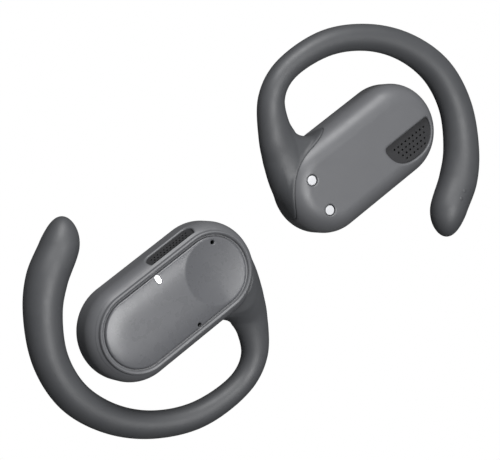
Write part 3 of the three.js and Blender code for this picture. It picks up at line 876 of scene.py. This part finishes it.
def lens_profile():
    points, faces = [], []
    count, rows = 40, 5
    for row in range(rows + 1):
        share = row / rows
        shrink = 1 - 0.35 * share**3
        for i in range(count):
            angle = 2 * math.pi * (i + 0.5) / count
            run = LED_HALF_LENGTH - LED_HALF_WIDTH
            shift = run if math.sin(angle) > 0 else -run
            x = LED_HALF_WIDTH * shrink * math.cos(angle)
            y = (LED_HALF_WIDTH * math.sin(angle)) * shrink + shift * shrink
            top = panel_height(np.array(abs(LED[1])), np.array(LED[0]), np.array(LED[1]))
            low = PANEL_BOTTOM + 0.05 if row == 0 else float(top) - 0.12
            points.append((LED[0] + x, LED[1] + y, low + 0.10 * max(0.0, share - 0.2)))
    for row in range(rows):
        for i in range(count):
            a, b = row * count + i, row * count + (i + 1) % count
            faces.append((a, b, b + count, a + count))
    faces.append(tuple(range(count))[::-1])
    faces.append(tuple(range(rows * count, (rows + 1) * count)))
    return points, faces


def vent_plate():
    outline = []
    run = VENT_HALF_LENGTH - VENT_HALF_WIDTH
    radius = VENT_HALF_WIDTH - 0.02
    for sign in (1, -1):
        for i in range(17):
            angle = math.pi * (i / 16 - 0.5) + (math.pi if sign < 0 else 0)
            outline.append((sign * run + radius * math.cos(angle), radius * math.sin(angle)))
    holes = []
    for row in (-1, 0, 1):
        count = 12 if row else 11
        for i in range(count):
            holes.append(((i - (count - 1) / 2) * VENT_PITCH, row * VENT_ROW_PITCH))
    points, faces = perforated(outline, holes, VENT_HOLE_RADIUS, VENT_PLATE)
    along, up, out, centre = vent_axes()
    axes = np.stack([along, up, out], axis=1)
    sunk = centre - out * (VENT_SUNK + VENT_PLATE / 2)
    return np.array(points) @ axes.T + sunk, faces


def grille_plate():
    outline = []
    for i in range(61):
        angle = math.pi * i / 60
        c, s = math.cos(angle), math.sin(angle)
        x = math.copysign(abs(c) ** (2 / GRILLE_POWER), c) * (GRILLE_HALF_LENGTH + GRILLE_EDGE)
        y = s ** (2 / GRILLE_POWER) * (GRILLE_DEPTH_ACROSS + GRILLE_EDGE)
        outline.append((GRILLE[0] + x, GRILLE[1] + y - GRILLE_EDGE))
    holes = []
    for row, count in enumerate(GRILLE_ROWS):
        for i in range(count):
            x = GRILLE_HOLES_ALONG + (i - (count - 1) / 2) * GRILLE_PITCH
            holes.append((GRILLE[0] + x, GRILLE[1] + GRILLE_FIRST_ROW + row * GRILLE_ROW_PITCH))
    points, faces = perforated(outline, holes, GRILLE_HOLE_RADIUS, GRILLE_PLATE)
    return np.array(points) + [0, 0, POD_FLOOR], faces


def side_mark(side):
    """Raised dots by which fingers tell the sides apart: one on the left hook, two on the right."""
    centre, tangent, side_way, over, size, _ = LINE
    count = MARK_DOTS[side]
    points, faces = [], []
    rows, ring = 5, 16
    for dot in range(count):
        at = MARK_FIRST + MARK_STEP * dot
        spot = centre[at] + side_way[at] * size[at, 0] * -0.05
        down = -over[at]
        seat = settle(
            (spot + down * size[at, 1])[None, :],
            lambda x, y, z: hook_tube(np.stack([x, y, z], axis=1))[0],
            0.2,
            4,
        )[0]
        first = len(points)
        for row in range(rows + 1):
            lift = math.pi / 2 * row / rows
            for i in range(ring):
                angle = 2 * math.pi * i / ring
                flat = (
                    tangent[at] * math.cos(angle) + side_way[at] * math.sin(angle)
                ) * MARK_RADIUS * math.cos(lift)
                points.append(seat + flat + down * (MARK_HEIGHT * math.sin(lift) - MARK_SUNK))
        for row in range(rows):
            for i in range(ring):
                a, b = first + row * ring + i, first + row * ring + (i + 1) % ring
                faces.append((a, a + ring, b + ring, b))
        faces.append(tuple(range(first, first + ring)))
    return points, faces


def build_shapes():
    low_pod = (-REACH, -POD_RADIUS - 2 * CELL, -POD_HALF_DEPTH - 2 * CELL)
    high_pod = (REACH, POD_RADIUS + 2 * CELL, POD_HALF_DEPTH)
    panel_cell = CELL * 0.9
    panel_low = (-POD_RUN - PANEL_RADIUS - 0.5, -PANEL_RADIUS - 0.5, PANEL_BOTTOM - 0.4)
    panel_high = (POD_RUN + PANEL_RADIUS + 0.5, PANEL_RADIUS + 0.5, PANEL_CROWN + 0.5)
    centre, *_ = LINE
    hook_low = centre.min(0) - 5.5
    hook_high = np.maximum(centre.max(0) + 5.5, (REACH + 1, POD_RADIUS, POD_HALF_DEPTH))
    return {
        "pod": surface_net(pod_field, low_pod, high_pod, CELL),
        "panel": surface_net(panel_field, panel_low, panel_high, panel_cell),
        "hook": surface_net(hook_field, hook_low, hook_high, CELL * 1.2),
        "rim": swept_ring(rim_profile()),
        "contact": turned(contact_profile()),
        "lens": lens_profile(),
        "vent": vent_plate(),
        "grille": grille_plate(),
    }


SHAPES = build_shapes()


for side in SIDES:
    body, arm = f"{side}_earpiece", f"{side}_hook_arm"
    for shape, slot_name, node in (
        ("pod", "shell", "pod_shell"),
        ("rim", "shell", "front_frame"),
        ("panel", "panel", "touch_panel"),
        ("lens", "lens", "led_lens"),
        ("vent", "mesh", "side_vent_mesh"),
        ("grille", "mesh", "speaker_mesh"),
    ):
        piece = add_mesh(f"{side}_{node}_fine", *SHAPES[shape], side)
        dress(piece, slot_name)
        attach(piece, body)
        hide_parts(f"{side}_{node}")
    for i, sign in ((1, 1), (2, -1)):
        points, faces = SHAPES["contact"]
        shifted = points + [CONTACT[0], sign * CONTACT[1], 0]
        piece = add_mesh(f"{side}_charging_contact_{i}_fine", shifted, faces, side)
        dress(piece, "contact")
        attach(piece, body)
        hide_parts(f"{side}_charging_contact_{i}")
    mark = add_mesh(f"{side}_side_mark", *side_mark(side), side)
    dress(mark, "silicone")
    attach(mark, arm)
    hook = add_mesh(f"{side}_hook_skin", *SHAPES["hook"], side)
    dress(hook, "silicone")
    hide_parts(f"{side}_hook_root", f"{side}_hook_tail")
    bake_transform(hook)

# Inner pieces keep their CAD shape and take a finish by what they are made of.
INNER = {
    "hook_wire_root": "steel",
    "hook_wire_tail": "steel",
    "wire_anchor": "steel",
    "wire_end_ferrule": "steel",
    "driver_gasket": "foam",
    "driver_basket": "driver_plastic",
    "driver_yoke": "steel",
    "driver_magnet": "magnet",
    "driver_top_plate": "steel",
    "voice_coil": "copper",
    "diaphragm": "film",
    "battery_cell": "cell",
    "main_board": "board",
    "processor": "shield",
    "microphone_1": "shield",
    "microphone_2": "shield",
    "led_chip": "film",
    "touch_sensor": "film",
    "case_magnet": "magnet",
}
for side in SIDES:
    for node, slot_name in INNER.items():
        dress(frame["nodes"][f"{side}_{node}"], slot_name)

# ---- Stage ----

PAPER_SHADE = 0.08
ROOM_LIGHT = 0.14
FLOOR_HALF_SIZE = 1.2
FLOOR_GAP = 0.0004


def stage_material():
    """Pale to the camera, and dim to the object, so that the pods' dark sides stay dark."""
    material = bpy.data.materials.new("stage_paper")
    material.use_nodes = True
    tree = material.node_tree
    tree.nodes.clear()
    output = tree.nodes.new("ShaderNodeOutputMaterial")
    seen = tree.nodes.new("ShaderNodeEmission")
    seen.inputs["Strength"].default_value = 1.0
    paper = tree.nodes.new("ShaderNodeBsdfDiffuse")
    paper.inputs["Color"].default_value = (PAPER_SHADE, PAPER_SHADE, PAPER_SHADE, 1)
    path = tree.nodes.new("ShaderNodeLightPath")
    chosen = tree.nodes.new("ShaderNodeMixShader")
    tree.links.new(path.outputs["Is Camera Ray"], chosen.inputs[0])
    tree.links.new(paper.outputs[0], chosen.inputs[1])
    tree.links.new(seen.outputs[0], chosen.inputs[2])
    tree.links.new(chosen.outputs[0], output.inputs[0])
    return material


def add_floor():
    size = FLOOR_HALF_SIZE
    mesh = bpy.data.meshes.new("stage_floor")
    corners = [(-size, -size, 0), (size, -size, 0), (size, size, 0), (-size, size, 0)]
    drop = cad_low.z - FLOOR_GAP
    mesh.from_pydata([(x, y, drop) for x, y, _ in corners], [], [(0, 1, 2, 3)])
    floor = bpy.data.objects.new("stage_floor", mesh)
    mesh.materials.append(stage_material())
    bpy.context.scene.collection.objects.link(floor)


def set_world():
    """White behind the object, and a dim, slightly cool room round it."""
    world = bpy.data.worlds.new("studio")
    bpy.context.scene.world = world
    world.use_nodes = True
    tree = world.node_tree
    tree.nodes.clear()
    output = tree.nodes.new("ShaderNodeOutputWorld")
    seen = tree.nodes.new("ShaderNodeBackground")
    room = tree.nodes.new("ShaderNodeBackground")
    seen.inputs["Strength"].default_value = 1.0
    seen.inputs["Color"].default_value = (1, 1, 1, 1)
    room.inputs["Color"].default_value = (0.92, 0.95, 1.0, 1)
    room.inputs["Strength"].default_value = ROOM_LIGHT
    path = tree.nodes.new("ShaderNodeLightPath")
    chosen = tree.nodes.new("ShaderNodeMixShader")
    tree.links.new(path.outputs["Is Camera Ray"], chosen.inputs[0])
    tree.links.new(room.outputs[0], chosen.inputs[1])
    tree.links.new(seen.outputs[0], chosen.inputs[2])
    tree.links.new(chosen.outputs[0], output.inputs[0])


VIEW_WIDTH = 99.01 * MM  # how wide the picture is at the object
VIEW_LEAN = (1.66, 27.78)  # in degrees, about X and Y
VIEW_DISTANCE = 0.3589
VIEW_AIM = Vector((-3.50, -0.57, 1.13)) * MM  # from the middle of the pair to the picture's middle


def camera_turn():
    """Seen almost straight down, leaning over the pair's left side."""
    axis = Vector((*map(math.radians, VIEW_LEAN), 0))
    lean = Matrix.Rotation(axis.length, 3, axis.normalized())
    return lean.transposed()


def add_camera():
    turn = camera_turn()
    target = (cad_low + cad_high) / 2 + VIEW_AIM
    data = bpy.data.cameras.new("camera")
    data.sensor_width = 36.0
    data.lens = data.sensor_width * VIEW_DISTANCE / VIEW_WIDTH
    camera = bpy.data.objects.new("camera", data)
    place = target + turn @ Vector((0, 0, VIEW_DISTANCE))
    camera.matrix_world = Matrix.Translation(place) @ turn.to_4x4()
    bpy.context.scene.collection.objects.link(camera)
    bpy.context.scene.camera = camera
    return target


def add_softbox(name, target, direction, distance, size, power):
    """An area light that faces the target from a direction in the row frame."""
    data = bpy.data.lights.new(name, "AREA")
    data.shape = "RECTANGLE"
    data.size, data.size_y = size
    data.energy = power
    way = Vector(direction).normalized()
    lamp = bpy.data.objects.new(name, data)
    lamp.location = target + way * distance
    lamp.rotation_mode = "QUATERNION"
    lamp.rotation_quaternion = way.to_track_quat("Z", "Y")
    bpy.context.scene.collection.objects.link(lamp)


add_floor()
set_world()
TARGET = add_camera()
add_softbox("overhead", TARGET, (-0.01, -0.02, 1.0), 0.36, (0.2, 0.2), 1.15)
add_softbox("far_side", TARGET, (-0.25, 1.0, 0.65), 0.62, (0.4, 0.3), 3.9)

bpy.context.scene.view_settings.view_transform = "Standard"
